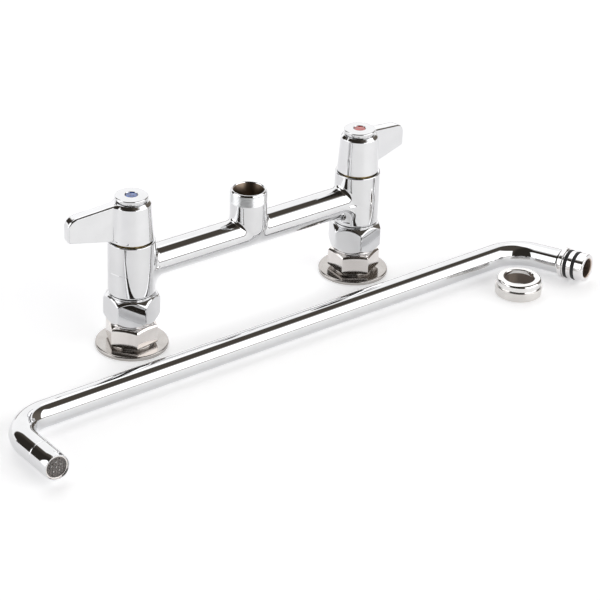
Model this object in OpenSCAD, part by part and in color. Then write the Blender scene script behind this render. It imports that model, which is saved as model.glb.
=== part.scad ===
// Deck-mount mixing faucet on eight-inch centres, laid out as on a bench: the body stands on its two
// flanged inlets, the swing spout lies in front of it and the spout nut stands beside the spout.
// The origin is on the deck, midway between the two valve columns. +X runs from cold to hot, -Y is the
// user's side and +Z is up. All sizes are millimetres.

/* [Body] */
// Distance between the axes of the two valve columns
centres = 203.2; // [195:0.1:220]
// Diameter of a valve column
column_d = 34.2; // [33:0.1:37]
// Height of a column's upper face above the deck
column_top_z = 84.6; // [83:0.1:90]
// Height of a column's lower face above the deck
column_foot_z = 43.6; // [42.5:0.1:44]
// Radius that rounds a column's foot
column_foot_round = 4.4; // [2:0.1:4.6]
// Radius that rounds a column's upper edge
column_top_round = 0.8; // [0.3:0.1:1.5]
// Height of the crossbar's axis above the deck
bar_z = 62.2; // [61:0.1:64]
// Diameter of the crossbar
bar_d = 23.5; // [21:0.1:25]
// Diameter of the water way in the crossbar
bar_bore_d = 13.6; // [10:0.1:14]
// Diameter of the valve chamber in a column
chamber_d = 25; // [24:0.1:26]
// Height of the valve seat above the deck
seat_z = 55; // [54.5:0.1:55.2]
// Diameter of the water way up through a column's tail
inlet_bore_d = 13.6; // [10:0.1:14]

/* [Spout post] */
// Diameter of the post that carries the spout
post_d = 27.4; // [26.5:0.1:29]
// Height of the post's rim above the deck
post_top_z = 96.2; // [92:0.1:110]
// Diameter of the post's socket
post_bore_d = 22.3; // [21.8:0.1:22.6]
// Depth of the post's socket
post_bore_depth = 26; // [24:0.1:26.5]
// Bevel of the post's outer rim
post_bevel = 1.3; // [0.5:0.1:1.8]
// Length of the thread band below the rim
thread_len = 9.2; // [6:0.1:14]
// Pitch of the fine thread on the post
thread_pitch = 1.15; // [0.8:0.05:1.6]
// Depth of the fine thread on the post
thread_depth = 0.35; // [0.2:0.05:0.5]

/* [Union] */
// Width across flats of the coupling nut
coupling_af = 35.6; // [34:0.1:38]
// Height of the coupling nut's lower face above the deck
coupling_z = 20.5; // [19.8:0.1:22]
// Height of the coupling nut's lower chamfer
coupling_lower_bevel = 3.9; // [2:0.1:5]
// Height of the coupling nut's upper chamfer
coupling_upper_bevel = 4; // [2:0.1:5]
// Diameter of the round lips above and below the coupling nut's hexagon
coupling_lip_d = 34.2; // [33:0.1:35]
// Height of each of those lips
coupling_lip_h = 1; // [0.5:0.1:2]
// Thickness of the coupling nut's inward shoulder
coupling_shoulder = 5.8; // [4:0.1:6.5]
// Diameter of the coupling nut's thread
coupling_thread_d = 27.2; // [26.5:0.1:28]
// Diameter of the tail below a column
tail_d = 21; // [20:0.1:22]
// Thickness of the retaining ring on the tail
tail_ring_h = 2; // [1.5:0.1:2.5]
// Diameter of the retaining ring on the tail
tail_ring_d = 26.4; // [25:0.1:26.8]
// Depth of the retaining ring's groove in the tail
tail_groove = 1; // [0.6:0.1:1.4]
// Thickness of the union washer
washer_h = 2; // [1.5:0.1:3]
// Distance from the retaining ring down to the tail's end
tail_nose = 5; // [3:0.1:6]

/* [Flanged inlet] */
// Diameter of the flange that stands on the deck
flange_d = 53; // [48:0.1:60]
// Thickness of the flange
flange_h = 3; // [2.5:0.1:3.6]
// Radius that rounds the flange's upper edge
flange_round = 1.2; // [0.5:0.1:1.6]
// Width across flats of the inlet's hexagon
inlet_af = 34; // [32:0.1:35]
// Height of the hexagon's lower face above the deck
inlet_hex_z = 4.8; // [4.4:0.1:6]
// Height of the hexagon
inlet_hex_h = 14.4; // [12:0.1:14.8]
// Height of the hexagon's upper chamfer
inlet_hex_bevel = 1.9; // [1:0.1:3]
// Height of the hexagon's lower chamfer
inlet_hex_under_bevel = 0.5; // [0.3:0.1:1]
// Diameter of the neck between flange and hexagon
inlet_neck_d = 31; // [28:0.1:31.5]
// Diameter of the threaded supply hole in the inlet's underside
supply_d = 19.2; // [18:0.1:21.3]
// Depth of the threaded supply hole
supply_depth = 14; // [12:0.1:16]

/* [Valve] */
// Diameter of the bonnet's flange, seen in the gap below the handle
bonnet_flange_d = 26.8; // [26:0.1:27.2]
// Thickness of the bonnet's flange
bonnet_flange_h = 2.2; // [1.5:0.1:2.4]
// Length of the bonnet's thread below its flange
bonnet_thread_len = 11.6; // [9:0.1:12]
// Diameter of the bonnet's cage
cage_d = 22.8; // [22.4:0.1:23.4]
// Wall of the bonnet's cage
cage_wall = 2; // [1.5:0.1:2.1]
// Diameter of the bonnet's neck
bonnet_neck_d = 16; // [14:0.1:18]
// Height of the bonnet's neck above its flange
bonnet_neck_h = 10.2; // [9.5:0.1:10.6]
// Diameter of the valve stem
stem_d = 8; // [7:0.1:9]
// Length of the stem above the bonnet's neck
stem_head_len = 11.4; // [10.5:0.1:11.6]
// Width over the two flats of the stem's head
stem_flats = 6.2; // [5.5:0.1:6.6]
// Thickness of the stem's foot
stem_foot_h = 3.8; // [3:0.1:4.2]
// Thickness of a ceramic disc
disc_h = 3; // [2.5:0.1:3.2]
// Diameter of a ceramic disc
disc_d = 18; // [16:0.1:18.4]
// Diameter of a water port in a ceramic disc
disc_port_d = 5; // [3:0.1:6]
// Distance of a water port from a ceramic disc's centre
disc_port_offset = 4.6; // [4:0.1:5.4]
// Height of the rubber seal under the fixed disc
seal_h = 3; // [2.5:0.1:3.4]

/* [Handle] */
// Height of the handle's lower rim above the deck
handle_z = 85.6; // [85.4:0.1:86.2]
// Diameter of the handle's hub at its rim
hub_rim_d = 31.4; // [30.8:0.1:33]
// Diameter of the handle's hub below its shoulder
hub_top_d = 28; // [27:0.1:29]
// Height of the handle's hub
hub_h = 29.2; // [28.8:0.1:30]
// Radius that rounds the hub's shoulder
hub_round = 2; // [1:0.1:2.5]
// Distance from the column's axis to the lever's tip
lever_reach = 48.8; // [40:0.1:70]
// Thickness of the lever's blade
lever_t = 9.4; // [5:0.1:10]
// Height of the blade's lower edge above the hub's rim, at the hub
lever_low_z = 0.8; // [0.6:0.1:3]
// Height of the blade's lower edge above the hub's rim, at the tip
lever_tip_low_z = 5.3; // [4:0.1:8]
// Height of the blade's upper edge above the hub's rim, at the hub's axis
lever_high_z = 31; // [27:0.1:32]
// Height of the blade's upper edge above the hub's rim, at the tip
lever_tip_high_z = 22.7; // [16:0.1:24]
// Radius that rounds the blade's upper corner at the tip
lever_tip_round = 7; // [3:0.1:9]
// Radius that rounds the blade's lower corner at the tip
lever_heel_round = 2; // [1:0.1:3]
// Angle by which each lever is turned back from the line of the crossbar
lever_back_angle = 12; // [0:1:20]
// Diameter of the cap on the handle
cap_d = 22.8; // [20:0.1:23.6]
// Height of the cap's button above the hub
cap_h = 3.6; // [3.2:0.1:5]
// Gap between the hub and the cap's button
cap_gap = 0.5; // [0.3:0.1:1]
// Radius that rounds the cap's upper edge
cap_round = 1.5; // [0.5:0.1:2]
// Diameter of the coloured index
index_d = 9; // [7:0.1:11]
// Depth of the recess that holds the coloured index
index_recess = 1.2; // [0.8:0.1:1.6]
// Thickness of the coloured index
index_h = 0.7; // [0.4:0.1:0.8]

/* [Spout] */
// Diameter of the spout's tube
tube_d = 19.05; // [18.8:0.05:19.2]
// Wall of the spout's tube
tube_wall = 1.2; // [1:0.05:1.4]
// Distance between the two corners where the spout's straight runs would meet
spout_span = 455; // [300:1:600]
// Angle of the bend at the inlet end
inlet_turn = 70; // [55:0.5:75]
// Radius of the inlet bend on the tube's axis
inlet_bend_r = 29; // [28:0.5:34]
// Distance from the inlet corner to the plug's nose
inlet_leg = 63; // [60:0.5:90]
// Angle of the bend at the outlet end
outlet_turn = 87.5; // [80:0.5:92]
// Radius of the outlet bend on the tube's axis
outlet_bend_r = 30; // [24:0.5:34]
// Distance from the outlet corner to the outlet's face
outlet_leg = 67; // [58:0.5:80]
// Place of the spout's inlet corner along X, as it lies on the bench
spout_x = 214.3; // [205:0.1:220]
// Place of the spout's inlet corner along Y, as it lies on the bench
spout_y = -58.4; // [-70:0.1:-56]
// Angle between the spout's straight run and the crossbar, as it lies on the bench
spout_yaw = 0.2; // [-1:0.1:1]
// Diameter of the plug's lands
plug_d = 21.6; // [21:0.1:21.8]
// Length of the plug's nose ahead of the seal grooves
plug_nose = 6.8; // [6:0.1:10]
// Width of a seal groove in the plug
seal_groove_w = 2.8; // [2.6:0.1:3]
// Width of the land between the two seal grooves
seal_land_w = 3.6; // [2.5:0.1:4]
// Width of the land between the seals and the retaining ring
ring_land_w = 1; // [0.8:0.1:3]
// Diameter of the water way in the plug
plug_bore_d = 14.4; // [13:0.1:14.6]
// Diameter of the seals' cord
seal_cord_d = 2.35; // [2.2:0.05:2.5]
// Diameter over the fitted seals
seal_over_d = 22.2; // [22:0.05:22.25]
// Diameter of the split retaining ring
retainer_d = 23.8; // [23.4:0.1:24.6]
// Thickness of the split retaining ring
retainer_h = 2.9; // [2:0.1:2.9]
// Width of the groove for the split retaining ring
retainer_groove_w = 3; // [3:0.1:3.2]
// Depth of the outlet screen below the tube's end
screen_recess = 1.2; // [0.8:0.1:2]

/* [Spout nut] */
// Diameter of the nut's lower band
nut_d = 35.6; // [33:0.1:38]
// Height of the nut's lower band
nut_band_h = 7.2; // [5:0.1:8]
// Diameter of the nut's polished shoulder
nut_shoulder_d = 33.8; // [32:0.1:34.6]
// Whole height of the nut
nut_h = 13; // [12:0.1:16]
// Radius that rounds the nut's shoulder
nut_round = 2.4; // [1:0.1:2.8]
// Depth of the groove between band and shoulder
nut_groove = 0.6; // [0.3:0.1:1]
// Width of the groove between band and shoulder
nut_groove_w = 0.8; // [0.5:0.1:1.2]
// Diameter of the nut's upper opening
nut_opening_d = 22.8; // [22.4:0.1:23.2]
// Thickness of the nut's inward lip
nut_lip = 3.2; // [2.5:0.1:4]
// Place of the nut along X, as it stands on the bench
nut_x = 183.4; // [180:0.1:186]
// Place of the nut along Y, as it stands on the bench
nut_y = -98.6; // [-102:0.1:-98]

/* [Hidden] */
$fn = 72;
// Smoothness of small round details
fine = 32;
// Overrun that lets a cut pass its face
over = 1;
// Radial clearance between a thread or seat and its mating piece
slip = 0.1;
// Radial clearance of a turning shaft in its bore
running = 0.05;
// Gap between two faces that slide on each other
film = 0.05;
// Small edge bevel on machined pieces
edge = 0.6;

column_r = column_d / 2;
bar_r = bar_d / 2;
post_r = post_d / 2;
chamber_r = chamber_d / 2;
tail_r = tail_d / 2;
// A horizontal round of this radius carries the post's flanks down into the crossbar's underside
post_root_r = (post_r * post_r + bar_r * bar_r) / bar_d;

coupling_top_z = column_foot_z - 2 * slip;
coupling_r = coupling_af / 2 / cos(30);
coupling_bore_top = coupling_top_z - coupling_shoulder;
tail_ring_z = coupling_bore_top - slip - tail_ring_h;
tail_end_z = tail_ring_z - tail_nose;
spigot_top_z = tail_end_z - washer_h;
inlet_r = inlet_af / 2 / cos(30);
inlet_hex_top = inlet_hex_z + inlet_hex_h;
spigot_r = coupling_thread_d / 2 - slip;
// Turns of the hexagons about their own axes, as they were tightened
cold_coupling_turn = 27;
hot_coupling_turn = 5.5;
cold_inlet_turn = 8;
hot_inlet_turn = 26;

bonnet_top_z = column_top_z + bonnet_flange_h;
bonnet_neck_top = bonnet_top_z + bonnet_neck_h;
stem_r = stem_d / 2;
cage_r = cage_d / 2;
disc_r = disc_d / 2;
fixed_disc_z = seat_z + seal_h;
moving_disc_z = fixed_disc_z + disc_h + film;
stem_foot_z = moving_disc_z + disc_h + film;
cage_bottom_z = fixed_disc_z + film;
cage_roof_z = stem_foot_z + stem_foot_h + 6 * film;
stem_top_z = bonnet_neck_top + stem_head_len;
clip_h = 0.8;
clip_groove_h = 1;
clip_depth = 0.8;
clip_reach = 1.6;
clip_z = bonnet_neck_top + 6 * film;
stem_seal_d = 1.1;
stem_groove_h = 1.8;
stem_groove_z = bonnet_neck_top - 6 * stem_seal_d;
screw_d = 3.8;
screw_tap_depth = 8.5;
screw_head_d = 8;
screw_head_h = 3.2;

hub_top_z = handle_z + hub_h;
skirt_r = bonnet_flange_d / 2 + 5 * slip;
// Room above the bonnet's flange and above the stem's clip inside the handle
handle_room = 1.3;
skirt_h = bonnet_top_z + handle_room - handle_z;
hub_cavity_r = skirt_r - handle_room;
socket_z = clip_z + clip_groove_h + handle_room;
socket_top_z = stem_top_z + 2 * slip;
// Reach of the cap's button past its stub, and thickness of the floor under the screw's head
cap_overhang = 2.3;
screw_floor = 1.4;
cap_recess_r = cap_d / 2 - cap_overhang;
cap_recess_z = socket_top_z + screw_floor;
cap_z = hub_top_z + cap_gap;
cap_top_z = cap_z + cap_h;
cap_stub_wall = 3;

tube_r = tube_d / 2;
tube_inner_r = tube_r - tube_wall;
// The wall draws in by this much on each face where the tube is bent
bend_draw = 0.05;
bend_lap = 0.3;
plug_r = plug_d / 2;
seal_groove_r = seal_over_d / 2 - seal_cord_d - running;
// Wall left under the retaining ring's groove
retainer_wall = 1.8;
retainer_groove_r = plug_bore_d / 2 + retainer_wall;
lower_seal_s = plug_nose;
upper_seal_s = lower_seal_s + seal_groove_w + seal_land_w;
retainer_s = upper_seal_s + seal_groove_w + ring_land_w;
plug_shoulder_s = retainer_s + retainer_groove_w;
// Step in from the lands to the plug's shoulder, and the shoulder's width
plug_step = 0.4;
plug_shoulder_w = 1.2;
plug_shoulder_r = plug_r - plug_step;
plug_len = plug_shoulder_s + plug_shoulder_w;
plug_spigot_len = 8;
// Rolled about its own straight run, the spout rests on the tube and on its retaining ring
spout_roll = asin((retainer_d / 2 - tube_r) / ((inlet_leg - retainer_s - retainer_groove_w / 2) * sin(inlet_turn)));
inlet_tangent = inlet_bend_r * tan(inlet_turn / 2);
outlet_tangent = outlet_bend_r * tan(outlet_turn / 2);
outlet_ring_len = 8;
outlet_ring_inset = 0.5;
outlet_ring_r = tube_inner_r - running;
outlet_ring_wall = 1;
screen_h = 0.5;
screen_r = outlet_ring_r - outlet_ring_wall - running;
screen_pitch = 1.3;
screen_wire = 0.5;
diffuser_h = 3;
diffuser_hole_d = 1.4;
diffuser_hole_pitch = 2.6;
outlet_gasket_h = 1.5;

cold = -1;
hot = 1;

// Points of an arc about (cx, cy) from angle a to angle b
function arc(cx, cy, r, a, b, steps) =
    [for (i = [0:steps]) [cx + r * cos(a + (b - a) * i / steps), cy + r * sin(a + (b - a) * i / steps)]];

// Half section of a round bar from z = 0 to h, its lower and upper edges rounded
module rod_section(r, h, low_round, high_round) {
    square([r - low_round, h - high_round]);
    translate([0, low_round]) square([r, h - low_round - high_round]);
    translate([0, low_round]) square([r - high_round, h - low_round]);
    translate([r - low_round, low_round]) circle(low_round, $fn = fine);
    translate([r - high_round, h - high_round]) circle(high_round, $fn = fine);
}

// Round bar with rounded edges
module rod(r, h, low_round, high_round) {
    rotate_extrude()
        intersection() {
            rod_section(r, h, low_round, high_round);
            square([r, h]);
        }
}

// Straight hole from z to z + h that opens past the ends it is told to pass
module hole(r, z, h, below, above) {
    translate([0, 0, z - below]) cylinder(r = r, h = h + below + above);
}

// Plain ring
module ring(outer, inner, z, h) {
    translate([0, 0, z])
        difference() {
            cylinder(r = outer, h = h);
            hole(inner, 0, h, over, over);
        }
}

// Ring with one slot cut through it, so that it springs into its groove
module split_ring(outer, inner, z, h, slot) {
    difference() {
        ring(outer, inner, z, h);
        translate([0, -slot / 2, z - over]) cube([outer + over, slot, h + 2 * over]);
    }
}

module at_column(side) {
    translate([side * centres / 2, 0, 0]) children();
}

// Hexagonal prism whose corners are turned off between two cones, which run on past the corners
module hex_prism(r, h, low, low_h, high, high_h, turn) {
    low_run = over * low_h / (r - low);
    high_run = over * high_h / (r - high);
    intersection() {
        rotate([0, 0, turn]) cylinder(r = r, h = h, $fn = 6);
        rotate_extrude()
            polygon([[0, 0], [low, 0], [r + over, low_h + low_run], [r + over, h - high_h - high_run], [high, h], [0, h]]);
    }
}

// One column of the body, with the tail that hangs into the union
module column_solid() {
    translate([0, 0, column_foot_z])
        rod(column_r, column_top_z - column_foot_z, column_foot_round, column_top_round);
    difference() {
        translate([0, 0, tail_end_z]) cylinder(r = tail_r, h = column_foot_z + column_foot_round - tail_end_z);
        ring(tail_r + over, tail_r - tail_groove, tail_ring_z - slip / 2, tail_ring_h + slip);
    }
}

// The cavities of one column
module column_cavity() {
    hole(chamber_r, seat_z, column_top_z - seat_z, 0, over);
    hole(inlet_bore_d / 2, tail_end_z, seat_z - tail_end_z, over, over);
}

// The post above the crossbar's axis, and its flanks down to the crossbar's underside
module post_solid() {
    difference() {
        translate([0, 0, bar_z]) cylinder(r = post_r, h = post_top_z - bar_z);
        rim_bevel();
        thread_grooves();
    }
    intersection() {
        translate([0, 0, bar_z - bar_r]) cylinder(r = post_r, h = bar_r);
        translate([-post_d, 0, bar_z - bar_r + post_root_r]) rotate([0, 90, 0]) cylinder(r = post_root_r, h = 2 * post_d);
    }
}

// The bevel round the post's rim
module rim_bevel() {
    translate([0, 0, post_top_z])
        rotate_extrude()
            polygon([[post_r - post_bevel, 0], [post_r, -post_bevel], [post_r + over, -post_bevel], [post_r + over, over], [post_r - post_bevel, over]]);
}

// The fine thread, as parallel grooves below the rim
module thread_grooves() {
    turns = floor((thread_len - post_bevel) / thread_pitch);
    for (i = [0:turns - 1])
        translate([0, 0, post_top_z - post_bevel - (i + 1) * thread_pitch])
            rotate_extrude()
                polygon([[post_r - thread_depth, 0], [post_r, -thread_depth], [post_r + over, -thread_depth],
                    [post_r + over, thread_depth], [post_r, thread_depth]]);
}

module faucet_body() {
    color([0.86, 0.87, 0.88])
        difference() {
            union() {
                for (side = [cold, hot]) at_column(side) column_solid();
                translate([-centres / 2, 0, bar_z]) rotate([0, 90, 0]) cylinder(r = bar_r, h = centres);
                post_solid();
            }
            for (side = [cold, hot]) at_column(side) column_cavity();
            translate([-centres / 2, 0, bar_z]) rotate([0, 90, 0]) cylinder(r = bar_bore_d / 2, h = centres);
            hole(post_bore_d / 2, post_top_z - post_bore_depth, post_bore_depth, 0, over);
            hole(bar_bore_d / 2, bar_z, post_top_z - post_bore_depth - bar_z, 0, over);
        }
}

module coupling_nut(side, turn) {
    lip_r = coupling_lip_d / 2;
    hex_z = coupling_z + coupling_lip_h;
    hex_h = coupling_top_z - coupling_lip_h - hex_z;
    color([0.84, 0.85, 0.86])
        at_column(side)
            difference() {
                union() {
                    translate([0, 0, coupling_z]) cylinder(r = lip_r - edge, h = coupling_top_z - coupling_z);
                    translate([0, 0, hex_z])
                        hex_prism(coupling_r, hex_h, lip_r, coupling_lower_bevel, lip_r, coupling_upper_bevel, turn);
                }
                hole(coupling_thread_d / 2, coupling_z, coupling_bore_top - coupling_z, over, 0);
                hole(tail_r + slip, coupling_bore_top, coupling_shoulder, over, over);
            }
}

module tail_ring(side) {
    color([0.72, 0.6, 0.32])
        at_column(side) split_ring(tail_ring_d / 2, tail_r - tail_groove + slip, tail_ring_z, tail_ring_h, tail_ring_h);
}

module union_washer(side) {
    color([0.2, 0.2, 0.2])
        at_column(side) ring(spigot_r - edge, inlet_bore_d / 2 + slip, spigot_top_z, washer_h);
}

module flanged_inlet(side, turn) {
    color([0.78, 0.75, 0.71])
        at_column(side)
            difference() {
                union() {
                    rod(flange_d / 2, flange_h, edge / 2, flange_round);
                    cylinder(r = inlet_neck_d / 2, h = inlet_hex_z + edge);
                    translate([0, 0, inlet_hex_z])
                        hex_prism(inlet_r, inlet_hex_h, inlet_r - 1.6 * inlet_hex_under_bevel, inlet_hex_under_bevel,
                            inlet_r - 1.7 * inlet_hex_bevel, inlet_hex_bevel, turn);
                    cylinder(r = spigot_r, h = spigot_top_z);
                }
                hole(supply_d / 2, 0, supply_depth, over, 0);
                hole(inlet_bore_d / 2, supply_depth, spigot_top_z - supply_depth, over, over);
            }
}

module bonnet(side) {
    color([0.62, 0.5, 0.28])
        at_column(side)
            difference() {
                union() {
                    translate([0, 0, column_top_z]) cylinder(r = bonnet_flange_d / 2, h = bonnet_flange_h);
                    translate([0, 0, column_top_z - bonnet_thread_len]) cylinder(r = chamber_r - slip, h = bonnet_thread_len);
                    translate([0, 0, cage_bottom_z]) cylinder(r = cage_r, h = column_top_z - cage_bottom_z);
                    translate([0, 0, column_top_z]) cylinder(r = bonnet_neck_d / 2, h = bonnet_flange_h + bonnet_neck_h);
                }
                hole(cage_r - cage_wall, cage_bottom_z, cage_roof_z - cage_bottom_z, over, 0);
                hole(stem_r + running, cage_roof_z, bonnet_neck_top - cage_roof_z, over, over);
                for (turn = [0, 90])
                    rotate([0, 0, turn])
                        translate([-cage_d, -cage_r / 3, moving_disc_z + disc_h / 2])
                            cube([2 * cage_d, 2 * cage_r / 3, disc_h]);
            }
}

module seat_seal(side) {
    color([0.1, 0.1, 0.1])
        at_column(side) ring(disc_r, inlet_bore_d / 2 + 4 * slip, seat_z, seal_h);
}

// Ceramic disc with two water ports
module ceramic_disc(z, turn) {
    difference() {
        translate([0, 0, z]) cylinder(r = disc_r, h = disc_h);
        for (way = [-1, 1])
            rotate([0, 0, turn])
                translate([way * disc_port_offset, 0, 0]) hole(disc_port_d / 2, z, disc_h, over, over);
    }
}

module fixed_disc(side) {
    color([0.93, 0.92, 0.88]) at_column(side) ceramic_disc(fixed_disc_z, 0);
}

module moving_disc(side) {
    color([0.95, 0.94, 0.9]) at_column(side) ceramic_disc(moving_disc_z, 90);
}

module stem(side) {
    color([0.75, 0.62, 0.34])
        at_column(side)
            difference() {
                union() {
                    translate([0, 0, stem_foot_z]) cylinder(r = disc_r, h = stem_foot_h);
                    translate([0, 0, stem_foot_z]) cylinder(r = stem_r, h = socket_z - stem_foot_z);
                    intersection() {
                        translate([0, 0, socket_z - over]) cylinder(r = stem_r, h = stem_top_z - socket_z + over);
                        translate([-stem_r, -stem_flats / 2, socket_z - over])
                            cube([stem_d, stem_flats, stem_top_z - socket_z + over]);
                    }
                }
                ring(stem_r + over, stem_r - stem_seal_d, stem_groove_z, stem_groove_h);
                ring(stem_r + over, stem_r - clip_depth, clip_z - film, clip_groove_h);
                hole(screw_d / 2 + film, stem_top_z - screw_tap_depth, screw_tap_depth, 0, over);
            }
}

module stem_seal(side) {
    color([0.08, 0.08, 0.08])
        at_column(side)
            translate([0, 0, stem_groove_z + stem_groove_h / 2])
                rotate_extrude() translate([stem_r - stem_seal_d / 2, 0]) circle(d = stem_seal_d - film, $fn = fine);
}

module stem_clip(side) {
    color([0.6, 0.6, 0.6])
        at_column(side) split_ring(stem_r + clip_reach, stem_r - clip_depth + running, clip_z, clip_h, 2 * clip_depth);
}

// Side view of the lever's blade: x runs out from the column's axis, y runs up from the hub's rim
module blade_side() {
    high_slope = (lever_high_z - lever_tip_high_z) / lever_reach;
    high_angle = 90 - atan(high_slope);
    corner_x = lever_reach - lever_tip_round;
    corner_y = lever_high_z - high_slope * corner_x - lever_tip_round / sin(high_angle);
    heel_x = lever_reach - lever_heel_round;
    polygon(concat(
        [[0, lever_low_z], [hub_rim_d / 2, lever_low_z]],
        arc(heel_x, lever_tip_low_z + lever_heel_round, lever_heel_round, -80, 0, 6),
        arc(corner_x, corner_y, lever_tip_round, 0, high_angle, 12),
        [[0, lever_high_z]]
    ));
}

// Plan view of the lever's blade, with its tip rounded
module blade_plan() {
    tip_r = lever_t / 3;
    translate([0, -lever_t / 2]) square([lever_reach - tip_r, lever_t]);
    translate([0, -lever_t / 2 + tip_r]) square([lever_reach, lever_t - 2 * tip_r]);
    for (way = [-1, 1])
        translate([lever_reach - tip_r, way * (lever_t / 2 - tip_r)]) circle(tip_r, $fn = fine);
}

// The hub's tapered outside with its rounded shoulder
module hub_solid() {
    rotate_extrude()
        polygon(concat(
            [[0, 0], [hub_rim_d / 2 - edge / 2, 0], [hub_rim_d / 2, edge / 2]],
            arc(hub_top_d / 2 - hub_round, hub_h - hub_round, hub_round, 3, 90, 8),
            [[0, hub_h]]
        ));
}

module handle(side) {
    color([0.85, 0.86, 0.88])
        at_column(side)
            difference() {
                translate([0, 0, handle_z]) {
                    hub_solid();
                    rotate([0, 0, side == cold ? 180 - lever_back_angle : lever_back_angle])
                        intersection() {
                            translate([0, lever_t / 2, 0]) rotate([90, 0, 0]) linear_extrude(lever_t) blade_side();
                            linear_extrude(hub_h - edge / 2) blade_plan();
                        }
                }
                hole(skirt_r, handle_z, skirt_h, over, 0);
                hole(hub_cavity_r, handle_z + skirt_h, socket_z - handle_z - skirt_h, over, 0);
                intersection() {
                    hole(stem_r + running, socket_z, socket_top_z - socket_z, over, 0);
                    translate([-stem_d, -stem_flats / 2 - running, socket_z - over])
                        cube([2 * stem_d, stem_flats + 2 * running, socket_top_z - socket_z + over]);
                }
                hole(screw_d / 2 + slip, socket_top_z, cap_recess_z - socket_top_z, over, over);
                hole(cap_recess_r, cap_recess_z, hub_top_z - cap_recess_z, 0, over);
            }
}

module handle_screw(side) {
    color([0.7, 0.7, 0.72])
        at_column(side)
            difference() {
                union() {
                    translate([0, 0, cap_recess_z]) cylinder(r = screw_head_d / 2, h = screw_head_h);
                    translate([0, 0, stem_top_z - screw_tap_depth + over]) cylinder(r = screw_d / 2, h = cap_recess_z - stem_top_z + screw_tap_depth);
                }
                translate([-screw_head_d, -screw_d / 8, cap_recess_z + screw_head_h / 2])
                    cube([2 * screw_head_d, screw_d / 4, screw_head_h]);
            }
}

module cap(side) {
    stub_r = cap_recess_r - running;
    color([0.88, 0.89, 0.9])
        at_column(side)
            difference() {
                union() {
                    translate([0, 0, cap_z]) rod(cap_d / 2, cap_h, edge / 2, cap_round);
                    translate([0, 0, cap_recess_z]) cylinder(r = stub_r, h = cap_z - cap_recess_z + edge);
                }
                hole(stub_r - cap_stub_wall, cap_recess_z, cap_z - cap_recess_z, over, 0);
                hole(index_d / 2 + film, cap_top_z - index_recess, index_recess, 0, over);
            }
}

module index(side, shade) {
    color(shade)
        at_column(side)
            translate([0, 0, cap_top_z - index_recess]) cylinder(r = index_d / 2, h = index_h);
}

// Carries the spout's own frame, corner of the inlet bend at its origin, to where the spout lies
module lay_spout() {
    translate([spout_x, spout_y, tube_r]) rotate([-spout_roll, 0, spout_yaw]) children();
}

// Frame of the inlet plug: z runs back from the plug's nose along the plug's axis
module at_plug() {
    lay_spout()
        translate([inlet_leg * cos(inlet_turn), -inlet_leg * sin(inlet_turn), 0])
            rotate([0, 90, 180 - inlet_turn]) children();
}

// Frame of the outlet: z runs back from the outlet's face along the tube's axis
module at_outlet() {
    lay_spout()
        translate([-spout_span - outlet_leg * cos(outlet_turn), -outlet_leg * sin(outlet_turn), 0])
            rotate([0, 90, outlet_turn]) children();
}

// One straight run of the tube's wall, lapping into its bends by low_lap and high_lap
module tube_run(h, low_lap, high_lap) {
    ring(tube_r, tube_inner_r, -low_lap, h + low_lap + high_lap);
}

// One bend of the tube's wall about the z axis, starting on the x axis
module tube_bend(bend_r, turn) {
    rotate_extrude(angle = turn)
        translate([bend_r, 0])
            difference() {
                circle(tube_r - bend_draw);
                circle(tube_inner_r + bend_draw);
            }
}

module spout_tube() {
    straight_x = -spout_span + outlet_tangent;
    color([0.86, 0.87, 0.89])
        union() {
            lay_spout() {
                translate([straight_x, 0, 0]) rotate([0, 90, 0]) tube_run(-inlet_tangent - straight_x, bend_lap, bend_lap);
                translate([-inlet_tangent, -inlet_bend_r, 0]) rotate([0, 0, 90 - inlet_turn]) tube_bend(inlet_bend_r, inlet_turn);
                translate([straight_x, -outlet_bend_r, 0]) rotate([0, 0, 90]) tube_bend(outlet_bend_r, outlet_turn);
            }
            at_plug() translate([0, 0, plug_len]) tube_run(inlet_leg - inlet_tangent - plug_len, 0, bend_lap);
            at_outlet() tube_run(outlet_leg - outlet_tangent, 0, bend_lap);
        }
}

module spout_plug() {
    color([0.82, 0.82, 0.83])
        at_plug()
            difference() {
                union() {
                    translate([0, 0, edge]) cylinder(r = plug_r, h = plug_shoulder_s - edge);
                    cylinder(r1 = plug_r - edge, r2 = plug_r, h = edge);
                    translate([0, 0, plug_shoulder_s]) cylinder(r = plug_shoulder_r, h = plug_len - plug_shoulder_s);
                    translate([0, 0, plug_len]) cylinder(r = tube_inner_r - running, h = plug_spigot_len);
                }
                hole(plug_bore_d / 2, 0, plug_len + plug_spigot_len, over, over);
                ring(plug_r + over, seal_groove_r, lower_seal_s, seal_groove_w);
                ring(plug_r + over, seal_groove_r, upper_seal_s, seal_groove_w);
                ring(plug_r + over, retainer_groove_r, retainer_s, retainer_groove_w);
            }
}

module plug_seals() {
    color([0.05, 0.05, 0.05])
        at_plug()
            for (s = [lower_seal_s, upper_seal_s])
                translate([0, 0, s + seal_groove_w / 2])
                    rotate_extrude() translate([(seal_over_d - seal_cord_d) / 2, 0]) circle(d = seal_cord_d, $fn = fine);
}

module plug_retaining_ring() {
    color([0.8, 0.78, 0.72])
        at_plug()
            split_ring(retainer_d / 2, retainer_groove_r + running,
                retainer_s + (retainer_groove_w - retainer_h) / 2, retainer_h, retainer_h);
}

module outlet_ring() {
    color([0.7, 0.68, 0.64])
        at_outlet()
            difference() {
                ring(outlet_ring_r, outlet_ring_r - outlet_ring_wall, outlet_ring_inset, outlet_ring_len);
                ring(outlet_ring_r, outlet_ring_r - outlet_ring_wall + running, outlet_ring_inset - over, over + edge / 2);
            }
}

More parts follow.
